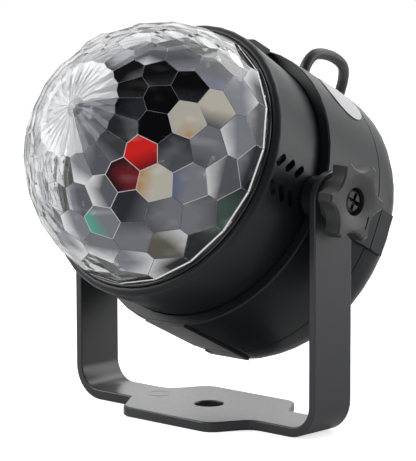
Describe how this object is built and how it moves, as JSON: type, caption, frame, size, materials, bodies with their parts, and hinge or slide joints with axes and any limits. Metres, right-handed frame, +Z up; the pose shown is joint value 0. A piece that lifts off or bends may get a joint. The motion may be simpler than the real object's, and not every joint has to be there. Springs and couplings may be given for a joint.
{
  "type": "disco ball light",
  "caption": "Small party lamp: a faceted clear dome turns over coloured lamps in a round housing that tilts in a U-shaped metal bracket, with a low-voltage cord.",
  "frame": {"origin": "on the surface that the bracket stands on, under the middle of the light measured without its cord", "axes": "+Z up, +X along the tilt axis, -Y the way the dome points at rest; the dome points 26.4 degrees above the horizon"},
  "size_m": [0.1658, 0.2011, 0.1202],
  "materials": {
    "bracket": "satin dark grey powder coat",
    "housing": "satin dark grey moulded plastic",
    "bezel": "glossy black",
    "dome": "clear moulded plastic with flat facets",
    "reflector": "dark grey",
    "lamp_board": "green circuit board",
    "motor": "black",
    "lamp_red": "red lens",
    "lamp_green": "green lens",
    "lamp_blue": "blue lens",
    "screws": "bright zinc",
    "control_board": "green circuit board",
    "capacitor": "blue sleeve",
    "chip": "black",
    "connector": "off-white",
    "motor_wire": "red",
    "lamp_wire": "yellow",
    "relief": "matt black",
    "cord": "matt black",
    "tie": "black",
    "knobs": "satin dark grey",
    "plug_grip": "black",
    "plug_contact": "bright nickel",
    "plug_tongue": "white"
  },
  "bodies": {
    "base": {"bracket": "bracket", "cord_tube": "cord", "cord_coil": "cord", "coil_tie": "tie", "plug_grip": "plug_grip", "plug_contact": "plug_contact", "plug_tongue": "plug_tongue"},
    "head": {"front_shell": "housing", "body_shell": "housing", "back_cover": "housing", "bezel_ring": "bezel", "reflector_plate": "reflector", "lamp_board": "lamp_board", "gear_motor": "motor", "lamp_red": "lamp_red", "lamp_green": "lamp_green", "lamp_blue": "lamp_blue", "deck_screw_1": "screws", "deck_screw_2": "screws", "deck_screw_3": "screws", "motor_screw_1": "screws", "motor_screw_2": "screws", "shell_screw_1": "screws", "shell_screw_2": "screws", "shell_screw_3": "screws", "shell_screw_4": "screws", "board_screw_1": "screws", "board_screw_2": "screws", "pivot_nut_right": "screws", "pivot_nut_left": "screws", "control_board": "control_board", "capacitor": "capacitor", "driver_chip": "chip", "cord_connector": "connector", "motor_wire": "motor_wire", "lamp_wire": "lamp_wire", "cord_relief": "relief", "inner_cord": "cord"},
    "dome": {"dome": "dome", "motor_shaft": "screws"},
    "knob_right": {"knob_right": "knobs", "knob_screw_right": "screws"},
    "knob_left": {"knob_left": "knobs", "knob_screw_left": "screws"}
  },
  "joints": [
    {"name": "tilt", "type": "hinge", "parent": "base", "child": "head", "pos_m": [0, 0.00424, 0.07005], "axis": [1, 0, 0], "range_deg": [-63.6, 71.4], "deforming": ["cord_tube"]},
    {"name": "dome_spin", "type": "hinge", "parent": "head", "child": "dome", "pos_m": [0, -0.01698, 0.08059], "axis": [0, -0.8957, 0.4446], "continuous": true},
    {"name": "knob_right_turn", "type": "hinge", "parent": "head", "child": "knob_right", "pos_m": [0, 0.00424, 0.07005], "axis": [1, 0, 0], "continuous": true},
    {"name": "knob_left_turn", "type": "hinge", "parent": "head", "child": "knob_left", "pos_m": [0, 0.00424, 0.07005], "axis": [1, 0, 0], "continuous": true}
  ]
}
